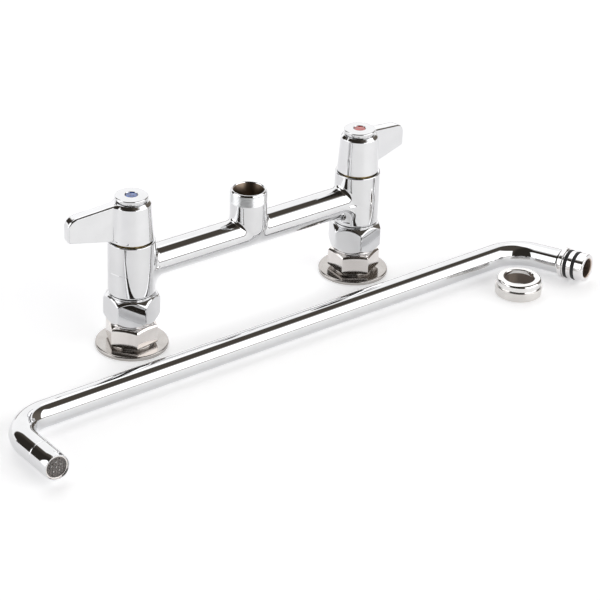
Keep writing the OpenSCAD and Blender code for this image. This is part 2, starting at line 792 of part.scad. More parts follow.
// Woven outlet screen, as a disc with a square opening between each four wires
module outlet_screen() {
    rows = floor(screen_r / screen_pitch);
    opening = screen_pitch - screen_wire;
    color([0.5, 0.48, 0.45])
        at_outlet()
            translate([0, 0, screen_recess])
                linear_extrude(screen_h)
                    difference() {
                        circle(screen_r);
                        for (i = [-rows:rows - 1], j = [-rows:rows - 1])
                            if (norm([(abs(i + 0.5) + 0.5) * screen_pitch, (abs(j + 0.5) + 0.5) * screen_pitch]) < screen_r)
                                translate([(i + 0.5) * screen_pitch, (j + 0.5) * screen_pitch])
                                    square(opening, center = true);
                    }
}

module outlet_diffuser() {
    z = screen_recess + screen_h;
    reach = floor(screen_r / diffuser_hole_pitch);
    color([0.85, 0.85, 0.83])
        at_outlet()
            difference() {
                translate([0, 0, z]) cylinder(r = screen_r, h = diffuser_h);
                for (i = [-reach:reach], j = [-reach:reach])
                    if (norm([i, j]) * diffuser_hole_pitch + diffuser_hole_d < screen_r)
                        translate([i * diffuser_hole_pitch, j * diffuser_hole_pitch, 0])
                            hole(diffuser_hole_d / 2, z, diffuser_h, over, over);
            }
}

module outlet_gasket() {
    color([0.12, 0.12, 0.12])
        at_outlet()
            ring(outlet_ring_r - slip, screen_r - outlet_ring_wall, outlet_ring_inset + outlet_ring_len, outlet_gasket_h);
}

module spout_nut() {
    shoulder_r = nut_shoulder_d / 2;
    color([0.8, 0.78, 0.75])
        translate([nut_x, nut_y, 0])
            difference() {
                union() {
                    rod(nut_d / 2, nut_band_h, edge, edge);
                    rod(shoulder_r - nut_groove, nut_h, edge, nut_round);
                    translate([0, 0, nut_band_h + nut_groove_w]) rod(shoulder_r, nut_h - nut_band_h - nut_groove_w, edge / 2, nut_round);
                }
                hole(post_r + slip, 0, nut_h - nut_lip, over, 0);
                hole(nut_opening_d / 2, nut_h - nut_lip, nut_lip, over, over);
                translate([0, 0, nut_h - edge]) cylinder(r1 = nut_opening_d / 2, r2 = nut_opening_d / 2 + edge, h = edge);
            }
}

faucet_body();
coupling_nut(cold, cold_coupling_turn);  // cold_coupling_nut
tail_ring(cold);  // cold_tail_ring
union_washer(cold);  // cold_union_washer
flanged_inlet(cold, cold_inlet_turn);  // cold_flanged_inlet
bonnet(cold);  // cold_bonnet
seat_seal(cold);  // cold_seat_seal
fixed_disc(cold);  // cold_fixed_disc
moving_disc(cold);  // cold_moving_disc
stem(cold);  // cold_stem
stem_seal(cold);  // cold_stem_seal
stem_clip(cold);  // cold_stem_clip
handle(cold);  // cold_handle
handle_screw(cold);  // cold_handle_screw
cap(cold);  // cold_cap
index(cold, [0.1, 0.2, 0.6]);  // cold_index
coupling_nut(hot, hot_coupling_turn);  // hot_coupling_nut
tail_ring(hot);  // hot_tail_ring
union_washer(hot);  // hot_union_washer
flanged_inlet(hot, hot_inlet_turn);  // hot_flanged_inlet
bonnet(hot);  // hot_bonnet
seat_seal(hot);  // hot_seat_seal
fixed_disc(hot);  // hot_fixed_disc
moving_disc(hot);  // hot_moving_disc
stem(hot);  // hot_stem
stem_seal(hot);  // hot_stem_seal
stem_clip(hot);  // hot_stem_clip
handle(hot);  // hot_handle
handle_screw(hot);  // hot_handle_screw
cap(hot);  // hot_cap
index(hot, [0.75, 0.1, 0.1]);  // hot_index
spout_tube();
spout_plug();
plug_seals();
plug_retaining_ring();
outlet_ring();
outlet_screen();
outlet_diffuser();
outlet_gasket();
spout_nut();
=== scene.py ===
"""Deck-mount mixing faucet on eight-inch centres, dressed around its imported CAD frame.
Sizes are written in millimetres and turned into metres where a mesh is made."""

import bmesh
import bpy
import numpy as np
from mathutils import Matrix


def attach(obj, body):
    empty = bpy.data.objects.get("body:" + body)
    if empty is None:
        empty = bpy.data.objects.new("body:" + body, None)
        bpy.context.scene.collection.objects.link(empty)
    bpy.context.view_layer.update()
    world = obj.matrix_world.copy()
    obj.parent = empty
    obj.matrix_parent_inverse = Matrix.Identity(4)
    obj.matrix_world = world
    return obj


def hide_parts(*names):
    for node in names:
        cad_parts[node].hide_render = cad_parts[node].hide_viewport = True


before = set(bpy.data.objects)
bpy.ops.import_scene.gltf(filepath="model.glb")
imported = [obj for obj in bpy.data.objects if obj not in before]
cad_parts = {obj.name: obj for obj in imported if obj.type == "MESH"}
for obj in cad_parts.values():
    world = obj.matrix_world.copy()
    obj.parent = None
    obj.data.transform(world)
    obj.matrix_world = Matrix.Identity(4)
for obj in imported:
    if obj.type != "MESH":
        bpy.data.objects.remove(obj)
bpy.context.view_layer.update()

# ------------------------------
# Bench and studio. The faucet stands on a plain white bench top, under a white room light with
# the gaps between the lamps left dark, as chrome is photographed.
# ------------------------------
class Signal:
    """A value in a shader: one output socket of a node. Sums and products of it add Math nodes."""

    def __init__(self, tree, socket=None):
        self.tree, self.socket = tree, socket

    def node(self, kind, settings=None, sockets=None, output=0):
        """Adds a node of this type: its settings are set first, then its sockets are filled or linked."""
        made = self.tree.nodes.new("ShaderNode" + kind)
        for name, value in (settings or {}).items():
            setattr(made, name, value)
        for key, value in (sockets or {}).items():
            if isinstance(value, Signal):
                self.tree.links.new(value.socket, made.inputs[key])
            else:
                made.inputs[key].default_value = value
        return Signal(self.tree, made.outputs[output])

    def sum(self, operation, *values):
        """A Math node of this operation on the values given, this one only if it is among them."""
        return self.node("Math", {"operation": operation}, dict(enumerate(values)))

    def __add__(self, other): return self.sum("ADD", self, other)
    def __radd__(self, other): return self.sum("ADD", other, self)
    def __sub__(self, other): return self.sum("SUBTRACT", self, other)
    def __rsub__(self, other): return self.sum("SUBTRACT", other, self)
    def __mul__(self, other): return self.sum("MULTIPLY", self, other)
    def __rmul__(self, other): return self.sum("MULTIPLY", other, self)

    def step(self, low, high):
        """0 below low, 1 above high, and a smooth rise between them; low may be the greater."""
        return self.node("MapRange", {"interpolation_type": "SMOOTHSTEP"}, {0: self, 1: low, 2: high})

    def mix(self, low, high):
        """Colour low where this value is 0, and high where it is 1."""
        return self.node("Mix", {"data_type": "RGBA"}, {0: self, 6: (*low, 1), 7: (*high, 1)}, output=2)


def finish_of(name, **sockets):
    """A material with a Principled shader; every socket given is a constant or a Signal maker."""
    material = bpy.data.materials.new(name)
    material.use_nodes = True
    tree = material.node_tree
    shader = tree.nodes["Principled BSDF"]
    start = Signal(tree)
    for key, value in sockets.items():
        socket = shader.inputs[key.replace("_", " ").title().replace("Ior", "IOR")]
        value = value(start) if callable(value) else value
        if isinstance(value, Signal):
            tree.links.new(value.socket, socket)
        else:
            socket.default_value = value
    return material


def place(start):
    """The point being shaded, in metres in the faucet's own frame."""
    return start.node("TexCoord", output=3)


def noise(start, scale, detail=2.0, stretch=(1, 1, 1)):
    """Soft random value from 0 to 1 with this many spots to a metre, drawn out along an axis by stretch."""
    point = start.node("Mapping", {"vector_type": "POINT"}, {0: place(start), 3: stretch})
    return start.node("TexNoise", {}, {"Vector": point, "Scale": scale, "Detail": detail, "Roughness": 0.5})


# Fitted to the photograph, with the flange centres 203.2 mm apart. Angles are in degrees, aim point and distance in
# metres, and the lens and its sensor in millimetres.
camera_yaw, camera_elevation, camera_roll = -38.44, 28.654, 2.132
camera_aim, camera_distance = (0.05114, 0, -0.01144), 1.70542
sensor_width, focal_length = 36, 134.895


def camera_at_photo():
    """Camera of the photograph. It looks back at its aim point from its distance along the direction that yaw and
    elevation give, and is turned by roll about that direction."""
    yaw, elevation, roll = np.radians((camera_yaw, camera_elevation, camera_roll))
    back = np.array((np.sin(yaw) * np.cos(elevation), -np.cos(yaw) * np.cos(elevation), np.sin(elevation)))
    right = np.cross(-back, (0, 0, 1))
    right /= np.linalg.norm(right)
    up = np.cross(right, -back)
    turned_right = np.cos(roll) * right + np.sin(roll) * up
    turned_up = np.cos(roll) * up - np.sin(roll) * right
    matrix = np.eye(4)
    matrix[:3, :3] = np.column_stack((turned_right, turned_up, back))
    matrix[:3, 3] = np.array(camera_aim) + camera_distance * back
    lens = bpy.data.cameras.new("photo_camera")
    lens.lens = focal_length
    lens.sensor_width = sensor_width
    lens.clip_end = 100
    camera = bpy.data.objects.new("photo_camera", lens)
    bpy.context.scene.collection.objects.link(camera)
    camera.matrix_world = Matrix(matrix.tolist())
    bpy.context.scene.camera = camera


camera_at_photo()
bpy.context.scene.view_settings.view_transform = "Standard"

bench_half = 6.0
bench_mesh = bpy.data.meshes.new("bench")
bench_mesh.from_pydata([(-bench_half, -bench_half, 0), (bench_half, -bench_half, 0),
                        (bench_half, bench_half, 0), (-bench_half, bench_half, 0)], [], [(0, 1, 2, 3)])
bench = bpy.data.objects.new("bench", bench_mesh)
bpy.context.scene.collection.objects.link(bench)
bench_mesh.materials.append(finish_of(
    "bench_white", roughness=0.6, emission_strength=0.42,
    emission_color=lambda s: noise(s, 1.5, 1).step(0.3, 0.7).mix((0.98, 0.98, 1.0), (1.0, 1.0, 1.0)),
    base_color=lambda s: noise(s, 1.5, 1).step(0.3, 0.7).mix((0.80, 0.80, 0.81), (0.83, 0.83, 0.83))))

world = bpy.data.worlds.new("studio")
bpy.context.scene.world = world
world.use_nodes = True
room = Signal(world.node_tree)
look = room.node("TexCoord", output=0)
axes = room.node("SeparateXYZ", {}, {0: look})
look_x, look_y, look_z = (Signal(room.tree, axes.socket.node.outputs[i]) for i in range(3))


def past(azimuth):
    """How far a direction lies past the upright plane at this azimuth in degrees, counted from +x towards +y."""
    return look_y * np.cos(np.radians(azimuth)) - look_x * np.sin(np.radians(azimuth))


# A soft lamp in front on the right, a white wall behind with a dark doorway and a dark lintel running on from its
# head, and a soft lamp on the left. The ceiling, the room behind the camera and the skirting round the bench are
# dark. A lamp or a dark shape is a product of steps: each is one edge, at an azimuth or a height.
front_level, wall_level, left_level, dark_level = 2.4, 1.22, 1.9, 0.085
spread_x = room.sum("ABSOLUTE", look_x)
front_lamp = past(-98).step(-0.03, 0.05) * past(-21).step(0.05, -0.05) * look_z.step(0.79, 0.655)
high_fade = 1 - (1 - past(142).step(0.13, -0.13)) * look_z.step(0.60, 0.68)
low_end = 1 - (1 - past(124).step(0.03, -0.03)) * look_z.step(0.68, 0.60)
doorway = ((past(97) + 0.6 * look_z - 0.25).step(-0.02, 0.05) * past(127).step(0.025, -0.025)
           * look_z.step(0.82, 0.74) * look_z.step(0.07, 0.13))
lintel = (past(112).step(-0.02, 0.05) * past(140).step(0.03, -0.03)
          * look_z.step(0.50, 0.56) * look_z.step(0.81, 0.74))
back_wall = (look_y - 0.25 * spread_x).step(0.05, 0.14) * high_fade * low_end * (1 - doorway) * (1 - lintel)
left_lamp = past(128).step(-0.02, 0.03) * (1 - lintel) * look_y.step(-0.03, 0.05) * look_z.step(0.68, 0.60)
above_skirting = 1 - 0.9 * look_z.step(0.105, 0.07) * past(80).step(0.05, -0.02)
back_level = wall_level + 0.4 * look_z.step(0.72, 0.78) * look_x.step(0.53, 0.49)
lit = (front_level * front_lamp + back_level * back_wall + left_level * left_lamp) * above_skirting
gloom = dark_level * (1 + look_x.step(0.6, 0.95) - 0.6 * look_x.step(-0.05, -0.35))
background = world.node_tree.nodes["Background"]
room.tree.links.new(lit.step(0.0, 0.5).mix((1.0, 0.87, 0.73), (1.0, 1.0, 1.0)).socket, background.inputs[0])
room.tree.links.new((gloom + lit).socket, background.inputs[1])


# ------------------------------
# Flanged inlets, one under each column. Each is turned from satin nickel-plated brass: a round
# deck flange, a short neck, a hexagon for the wrench and a spigot that the coupling nut screws on.
# ------------------------------
mm, centres = 0.001, 203.2
cold, hot = -1, 1


def outline(corners, closed=False, steps=6, hold=0.12):
    """Straight legs with rounded corners, given as (x, y, radius). A corner's arc runs between the points
    where a circle of its radius touches both legs, and one more point on each leg close by keeps it flat.
    The ends of an open line stay sharp."""
    spots = np.array([c[:2] for c in corners], float)
    count = len(spots)
    line = []
    for i, (x, y, radius) in enumerate(corners):
        spot = spots[i]
        if radius == 0 or (not closed and i in (0, count - 1)):
            line.append(spot[None])
            continue
        back, on = spots[i - 1] - spot, spots[(i + 1) % count] - spot
        leg = min(np.linalg.norm(back), np.linalg.norm(on))
        back, on = back / np.linalg.norm(back), on / np.linalg.norm(on)
        half = np.arccos(np.clip(back @ on, -1, 1)) / 2
        reach = min(radius / np.tan(half), 0.42 * leg)
        radius = reach * np.tan(half)
        middle = spot + (back + on) / np.linalg.norm(back + on) * radius / np.sin(half)
        first, last = spot + back * reach - middle, spot + on * reach - middle
        start = np.arctan2(first[1], first[0])
        sweep = (np.arctan2(last[1], last[0]) - start + np.pi) % (2 * np.pi) - np.pi
        turn = start + sweep * np.linspace(0, 1, steps + 1)
        spare = min(hold, 0.05 * leg)
        line += [spot + back * (reach + spare), middle + radius * np.column_stack((np.cos(turn), np.sin(turn))),
                 spot + on * (reach + spare)]
    return np.vstack(line)


def hexagon(flats, corner, turn, crown=0.0):
    """Outline of a hexagon of this width across flats, turned by this many degrees: its six rounded corners, and
    on each flat more points at even angles, at half the width over the cosine of the angle from its middle. A flat
    swells by crown at its middle, less the square of the share of the way to its corner."""
    angles = np.radians(turn + 60 * np.arange(6))
    radius = flats / 2 / np.cos(np.pi / 6)
    corners = outline([(radius * np.cos(a), radius * np.sin(a), corner) for a in angles],
                      closed=True, steps=8, hold=0.2)
    off = np.radians(np.arange(-26, 27, 2))
    more = (angles[:, None] + np.pi / 6 + off).ravel()
    away = np.tile(flats / 2 / np.cos(off), 6)
    line = np.vstack((corners, np.column_stack((away * np.cos(more), away * np.sin(more)))))
    line = line[np.argsort(np.arctan2(line[:, 1], line[:, 0]))]
    share = (np.degrees(np.arctan2(line[:, 1], line[:, 0])) - turn) % 60 / 30 - 1
    return line * (1 + 2 * crown / flats * (1 - share ** 2))[:, None]


def turned(profile, rays):
    """Profile points (r, z) carried round the z axis: each point is set out along every ray by r, at height z."""
    profile = np.asarray(profile, float)
    flat = profile[:, None, 0, None] * rays[None]
    return np.dstack((flat, np.broadcast_to(profile[:, None, 1, None], flat.shape[:2] + (1,))))


def crisp_rows(knots, shape, crisp=0.35, steps=5):
    """Rows of a wall over an outline, through knots given as (distance, height) over every outline point. The edge
    at each inner knot is rounded by a parabola that leaves the two legs at a distance of crisp."""
    rows = [knots[0]]
    for back, here, on in zip(knots[:-2], knots[1:-1], knots[2:]):
        gone, coming = back - here, on - here
        gone_len = np.hypot(*gone.T)[:, None].clip(1e-6)
        coming_len = np.hypot(*coming.T)[:, None].clip(1e-6)
        near = here + gone / gone_len * np.minimum(crisp, 0.4 * gone_len)
        away = here + coming / coming_len * np.minimum(crisp, 0.4 * coming_len)
        rows.append(near + (near - here) * 0.3)
        for share in np.linspace(0, 1, steps + 1):
            rows.append((1 - share) ** 2 * near + 2 * share * (1 - share) * here + share ** 2 * away)
        rows.append(away + (away - here) * 0.3)
    rows = np.array(rows + [knots[-1]])
    rays = shape / np.hypot(*shape.T)[:, None]
    return np.dstack((rows[..., 0, None] * rays[None], rows[..., 1, None]))


def piece(name, body, grids, materials, replaces=(), around=True, ring=False, marks=None):
    """Makes one piece from grids of points in millimetres. Neighbouring points are joined by four-sided faces,
    the last column to the first where it goes around and the last row to the first in a ring. Grids that share an
    edge are welded there. marks gives each grid's material."""
    points, faces, kinds = [], [], []
    base = 0
    for number, grid in enumerate(grids):
        rows, columns = grid.shape[:2]
        index = base + np.arange(rows * columns).reshape(rows, columns)
        if around:
            index = np.column_stack((index, index[:, 0]))
        if ring:
            index = np.vstack((index, index[:1]))
        quads = np.dstack((index[:-1, :-1], index[:-1, 1:], index[1:, 1:], index[1:, :-1])).reshape(-1, 4)
        points.append(grid.reshape(-1, 3))
        faces.append(quads)
        kinds.append(np.full(len(quads), 0 if marks is None else marks[number]))
        base += rows * columns
    mesh = bpy.data.meshes.new(name)
    mesh.from_pydata((np.vstack(points) * mm).tolist(), [], np.vstack(faces).tolist())
    mesh.polygons.foreach_set("material_index", np.concatenate(kinds).astype(np.int32))
    form = bmesh.new()
    form.from_mesh(mesh)
    bmesh.ops.remove_doubles(form, verts=form.verts, dist=2e-6)
    bmesh.ops.recalc_face_normals(form, faces=form.faces)
    form.to_mesh(mesh)
    form.free()
    mesh.polygons.foreach_set("use_smooth", np.ones(len(mesh.polygons), bool))
    for material in materials:
        mesh.materials.append(material)
    thing = bpy.data.objects.new(name, mesh)
    bpy.context.scene.collection.objects.link(thing)
    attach(thing, body)
    if replaces:
        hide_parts(*replaces)


def shifted(grid, x, y=0.0, z=0.0):
    """The grid moved by this much, in millimetres."""
    return grid + np.array((x, y, z))


def satin(name, light, dark, rough, brushed):
    """Satin plate: fine turning lines run round the piece, and the plate is a little darker in soft patches."""
    lines = lambda s: noise(s, 900, 3, stretch=brushed)
    return finish_of(
        name, metallic=1.0,
        base_color=lambda s: noise(s, 60, 3).step(0.3, 0.7).mix(dark, light),
        roughness=lambda s: rough - 0.03 + 0.06 * lines(s),
        normal=lambda s: s.node("Bump", {}, {"Strength": 0.2, "Distance": 0.00003, "Height": lines(s)}))


nickel = satin("satin_nickel", (0.76, 0.728, 0.706), (0.68, 0.648, 0.626), 0.13, (0.03, 0.03, 1))
# The flange is the same nickel plate as the hexagon, its colour darkened by about a third: painted shade where the
# hexagon shades it.
shaded_flange_nickel = satin("shaded_flange_nickel", (0.49, 0.468, 0.45), (0.43, 0.408, 0.39), 0.17, (0.03, 0.03, 1))

flange_r, flange_h, flange_round = 26.5, 3.0, 1.2
neck_r, inlet_flats = 15.5, 34.0
inlet_hex_z, inlet_hex_h = 4.8, 14.4
inlet_hex_top = inlet_hex_z + inlet_hex_h
spigot_r, spigot_top = 13.5, 28.5
supply_r, supply_depth, water_r = 9.6, 14.0, 6.8

bevel_in, bevel_up, corner_dip, inlet_shelf = 0.9, 1.3, 0.8, 1.6
foot_bevel_in, foot_bevel_up = 0.3, 1.2
inlet_corner = 0.5

for side, word, hex_turn in ((cold, "cold", 8), (hot, "hot", 26)):
    shape = hexagon(inlet_flats, inlet_corner, hex_turn)
    far = np.hypot(*shape.T)
    rays = shape / far[:, None]
    foot = turned(outline([(supply_r, 0, 0), (flange_r, 0, 0.3), (flange_r, flange_h, flange_round),
                           (neck_r, flange_h, 0.6), (neck_r, inlet_hex_z, 0)]), rays)
    # The hexagon's edges are bevelled along its flats, and the upper bevel dips at the corners by the share of the
    # way from the flat's middle to the corner. Its shelf runs in to the spigot.
    dip = corner_dip * (far - far.min()) / (far.max() - far.min())
    inlet_knots = [(neck_r, 0, inlet_hex_z), (0, 1 - 2 * foot_bevel_in / inlet_flats, inlet_hex_z),
                   (0, 1, inlet_hex_z + foot_bevel_up), (0, 1, inlet_hex_top - bevel_up - dip),
                   (0, 1 - 2 * bevel_in / inlet_flats, inlet_hex_top - dip), (spigot_r, 0, inlet_hex_top + inlet_shelf)]
    wall = crisp_rows([np.column_stack((fixed + share * far, z + 0 * far)) for fixed, share, z in inlet_knots], shape)
    spigot_side = turned(outline([(spigot_r, inlet_hex_top + inlet_shelf, 0), (spigot_r, spigot_top, 0.5),
                                 (water_r, spigot_top, 0.2), (water_r, supply_depth, 0.2),
                                 (supply_r, supply_depth, 0.2), (supply_r, 0, 0)]), rays)
    piece(f"{word}_inlet_fitting", "faucet",
          [shifted(g, side * centres / 2) for g in (foot, wall, spigot_side)],
          [shaded_flange_nickel, nickel], [f"{word}_flanged_inlet"], marks=(0, 1, 1))


# ------------------------------
# Coupling nuts. Each is a chrome hexagon with rounded corners and a long bevel above and below,
# threaded on the inlet's spigot; its inward shoulder pulls the column down on the washer.
# ------------------------------
def chrome(name, tint=(0.69, 0.692, 0.70), rough=0.035, wave=0.3, grain=55):
    """Bright chrome plate: a slow waviness of the polish under it, and a faint haze in patches."""
    return finish_of(
        name, metallic=1.0,
        base_color=lambda s: noise(s, 90, 2).step(0.3, 0.7).mix(tuple(0.97 * c for c in tint), tint),
        roughness=lambda s: rough - 0.01 + 0.02 * noise(s, 240, 3),
        normal=lambda s: s.node("Bump", {}, {"Strength": wave, "Distance": 0.00002, "Height": noise(s, grain, 1)}))


nut_chrome = chrome("turned_chrome")
coupling_flats, coupling_z, coupling_top = 35.6, 20.5, 43.4
lip_r, lip_h = 17.1, 1.0
lower_slope, upper_slope, side_swell = 3.9, 4.0, 0.003
coupling_corner, coupling_crown = 1.6, 0.16
end_r, coupling_bore, shoulder_bore, shoulder_z = 16.5, 13.6, 10.6, 37.6
for side, word, hex_turn in ((cold, "cold", 27), (hot, "hot", 5.5)):
    shape = hexagon(coupling_flats, coupling_corner, hex_turn, crown=coupling_crown)
    rays = shape / np.hypot(*shape.T)[:, None]
    hex_z, hex_h = coupling_z + lip_h, coupling_top - coupling_z - 2 * lip_h
    # Two cones turn the corners off, so that the hexagon's edges rise in arcs over its flats. At an outline point a
    # cone cuts off its slope times the share of the way from the lip to the outermost corner, in millimetres.
    far = np.hypot(*shape.T)
    dip = (far - lip_r) / (far.max() - lip_r)
    coupling_knots = [(lip_r, 0, hex_z), (far, lower_slope * dip, hex_z),
                      (far, -upper_slope * dip, hex_z + hex_h), (lip_r, 0, hex_z + hex_h)]
    wall = crisp_rows([np.column_stack((r + 0 * far, z + rise_of_arc + 0 * far))
                       for r, rise_of_arc, z in coupling_knots], shape, crisp=0.6)
    # The sides swell by a share at mid height, less the square of the level, which is 0 there and 1 at both ends
    level = ((wall[..., 2:] - hex_z) / hex_h * 2 - 1).clip(-1, 1)
    wall[..., :2] *= 1 + side_swell * (1 - level ** 2)
    bore = turned(outline([(lip_r, hex_z + hex_h, 0), (end_r, hex_z + hex_h, 0.1), (end_r, coupling_top, 0.3),
                           (shoulder_bore, coupling_top, 0.2), (shoulder_bore, shoulder_z, 0.2),
                           (coupling_bore, shoulder_z, 0.2), (coupling_bore, coupling_z, 0.3),
                           (end_r, coupling_z, 0.3), (end_r, hex_z, 0.1), (lip_r, hex_z, 0)]), rays)
    piece(f"{word}_coupling", "faucet",
          [shifted(g, side * centres / 2) for g in (wall, bore)], [nut_chrome], [f"{word}_coupling_nut"])


# ------------------------------
# Faucet body. One brass casting, polished and chrome plated: two valve columns and the spout post
# run into the round crossbar in soft fillets. Chambers, socket and tails are bored bare; the socket's bare brass is
# darkened as painted shade inside the bore.
# ------------------------------
column_r, column_top, column_foot, foot_round, top_round = 17.1, 84.6, 43.6, 4.4, 0.8
bar_r, bar_z = 11.75, 62.2
post_r, post_top, post_bevel = 13.7, 96.2, 1.3
thread_len, thread_pitch, thread_depth = 9.2, 1.15, 0.35
high_fillet, low_fillet, post_fillet, root_rise = 3.0, 6.5, 2.4, 6.0
body_count, limb_reach = 96, 40


def rounded_union(a, b, radius):
    """Signed distance to two solids joined by a fillet: where both are nearer than radius, the distance to a
    circle of that radius that touches both; elsewhere the smaller of the two."""
    return np.maximum(radius, np.minimum(a, b)) - np.hypot((radius - a).clip(0), (radius - b).clip(0))


def casting(point):
    """Signed distance to the outside of the casting at x >= 0. A fillet narrows with the sine of the angle
    between the two walls, so that it fades out where they run side by side. The post is round and ends below in
    half an ellipsoid: its distance is share times (share - 1) over the length of share's slope, where share is
    the distance from the centre in radii."""
    x, y, z = point[..., 0], point[..., 1], point[..., 2] - bar_z
    beyond = (x - centres / 2).clip(0)
    from_bar = np.sqrt(y * y + z * z + beyond * beyond).clip(1e-6)
    bar = from_bar - bar_r
    from_column = np.hypot(x - centres / 2, y).clip(1e-6)
    facing = np.sqrt((1 - (y * y / from_bar / from_column) ** 2).clip(0))
    reach = np.where(z > 0, high_fillet, low_fillet)
    column = rounded_union(bar, from_column - column_r, reach * facing)
    root_depth = bar_r + root_rise
    low = np.minimum(z - root_rise, 0) / root_depth
    share = np.sqrt((x * x + y * y) / post_r ** 2 + low ** 2).clip(1e-6)
    slope = np.sqrt((x * x + y * y) / post_r ** 4 + (low / root_depth) ** 2).clip(1e-9)
    post = share * (share - 1) / slope
    facing = np.sqrt((1 - ((y * y / post_r ** 2 + low * z / root_depth) / slope / from_bar) ** 2).clip(0))
    return np.where(x > centres / 4, column, rounded_union(bar, post, post_fillet * facing))


def cast(solid, start, way, reach):
    """Where each ray first leaves the solid: it is sampled at even steps, and the step that leaves is halved."""
    samples, halvings = 97, 34
    start, way = np.broadcast_arrays(start, way)
    steps = np.linspace(0, reach, samples)
    first = (solid(start[..., None, :] + way[..., None, :] * steps[:, None]) > 0).argmax(-1)
    low, high = steps[first - 1], steps[first]
    for _ in range(halvings):
        middle = (low + high) / 2
        out = solid(start + way * middle[..., None]) > 0
        low, high = np.where(out, low, middle), np.where(out, middle, high)
    return start + way * high[..., None]


def eased(count):
    """Numbers from 0 to 1, closest together at both ends: half the square of twice the share up to the middle,
    and its mirror image from there."""
    share = np.linspace(0, 1, count)
    return np.where(share < 0.5, 0.5 * (2 * share) ** 2.0, 1 - 0.5 * (2 - 2 * share) ** 2.0)


def rise(x, base, top, profile, rows=30):
    """A limb's wall about the upright axis at x: over each base point, rays go out level from the axis at
    heights from the base to top, and end where they leave the casting; then the profile is turned."""
    flat = base[:, :2] - (x, 0)
    rays = flat / np.hypot(*flat.T)[:, None]
    share = (np.linspace(0, 1, rows) ** 1.6)[:, None]
    height = base[None, :, 2] + (top - base[None, :, 2]) * share
    start = np.dstack((np.full_like(height, x), np.zeros_like(height), height))
    way = np.broadcast_to(np.column_stack((rays, np.zeros(len(rays)))), start.shape)
    wall = cast(casting, start, way, limb_reach)
    return [wall, np.concatenate((wall[-1:], shifted(turned(profile, rays), x)))]


body_reach, bar_rows, spread_of_seam = 30, 73, 0.3
turn = 2 * np.pi * np.arange(body_count) / body_count
quarter = body_count // 4
upper = np.arange(-quarter, quarter + 1)
lower = np.arange(quarter, 3 * quarter + 1)
tall, wide = np.cos(turn), np.sin(turn)
column_lean, column_lean_low, post_lean = (
    (limb_r + spread_of_seam * fillet) / (bar_r + spread_of_seam * fillet)
    for limb_r, fillet in ((column_r, high_fillet), (column_r, low_fillet), (post_r, post_fillet)))
# Seams where the limbs meet: rays from where their axes cross, leaning from one axis to the other
lean = np.where(tall > 0, column_lean, column_lean_low)
at_column = cast(casting, np.array((centres / 2, 0, bar_z)),
                 np.column_stack((-lean * abs(tall), wide, tall)), body_reach)
at_post = cast(casting, np.array((0, 0, bar_z)), np.column_stack((post_lean * tall.clip(0), wide, tall)), body_reach)
along = at_post[None, :, 0] + (at_column[None, :, 0] - at_post[None, :, 0]) * eased(bar_rows)[:, None]
bar_start = np.dstack((along, np.zeros_like(along), np.full_like(along, bar_z)))
bar_way = np.broadcast_to(np.column_stack((0 * turn, wide, tall)), bar_start.shape)
bar_grid = cast(casting, bar_start, bar_way, body_reach)

back_turn = np.linspace(np.pi / 2, -np.pi / 2, 2 * quarter + 1)[1:-1]
back_row = np.column_stack((centres / 2 + column_r * np.cos(back_turn), column_r * np.sin(back_turn),
                            np.full_like(back_turn, bar_z)))
foot_z = column_foot + foot_round
limb_top = column_top - 4
thread_rows = np.linspace(post_top - thread_len, post_top - post_bevel, 64)


def thread(radius, rows, rays, depth, pitch):
    """A vee thread: at each ray and height the radius dips by depth as the height's share of a pitch, less the
    ray's share of a turn, goes from a crest to a root, and the dip fades in and out at the band's ends."""
    share = rows[:, None] / pitch - np.arctan2(rays[:, 1], rays[:, 0])[None] / (2 * np.pi)
    dip = 1 - abs(2 * (share % 1) - 1)
    ends = ((rows - rows[0]) / pitch).clip(0, 1) * ((rows[-1] - rows) / (0.5 * pitch)).clip(0, 1)
    out = radius - depth * dip * ends[:, None]
    return np.dstack((out * rays[None, :, 0], out * rays[None, :, 1], np.broadcast_to(rows[:, None], out.shape)))


chamber_r, chamber_floor = 12.5, 55
tail_r, tail_end, tail_end_r = 10.5, 30.5, 8.6
tail_groove_r, tail_groove_top, tail_groove_foot = 9.5, 37.55, 35.45
socket_r, socket_depth, socket_bevel = 11.15, 26, 0.6
column_rim = outline([(column_r, limb_top, 0), (column_r, column_top, top_round), (chamber_r, column_top, 0.3),
                      (chamber_r, chamber_floor, 0.3), (water_r, chamber_floor, 0.3), (water_r, tail_end, 0.3)])
column_tail = outline([(column_r, foot_z, 0), (column_r, column_foot, foot_round), (tail_r, column_foot, 0.3),
                       (tail_r, tail_groove_top, 0.1), (tail_groove_r, tail_groove_top, 0.1),
                       (tail_groove_r, tail_groove_foot, 0.1), (tail_r, tail_groove_foot, 0.1),
                       (tail_r, tail_end, 0.4), (tail_end_r, tail_end, 0)], steps=10)
mouth_edge = outline([(post_r, post_top - post_bevel, 0), (post_r - post_bevel, post_top, 0.3),
                      (socket_r + socket_bevel, post_top, 0.2), (socket_r, post_top - socket_bevel, 0)])
post_socket = outline([(socket_r, post_top - socket_bevel, 0), (socket_r, post_top - socket_depth, 0.2),
                       (water_r, post_top - socket_depth, 0.3), (water_r, bar_z, 0), (0, bar_z, 0)])
column_up = rise(centres / 2, np.vstack((at_column[upper], back_row)), limb_top, column_rim)
column_down = rise(centres / 2, np.vstack((at_column[lower], back_row[::-1])), foot_z, column_tail)
post_base = np.vstack((at_post[upper], (at_post[upper] * (-1, 1, 1))[1:-1][::-1]))
post_rays = post_base[:, :2] / np.hypot(*post_base[:, :2].T)[:, None]
post_wall, post_mouth = rise(0, post_base, thread_rows[0], mouth_edge)
post_thread = thread(post_r, thread_rows, post_rays, thread_depth, thread_pitch)
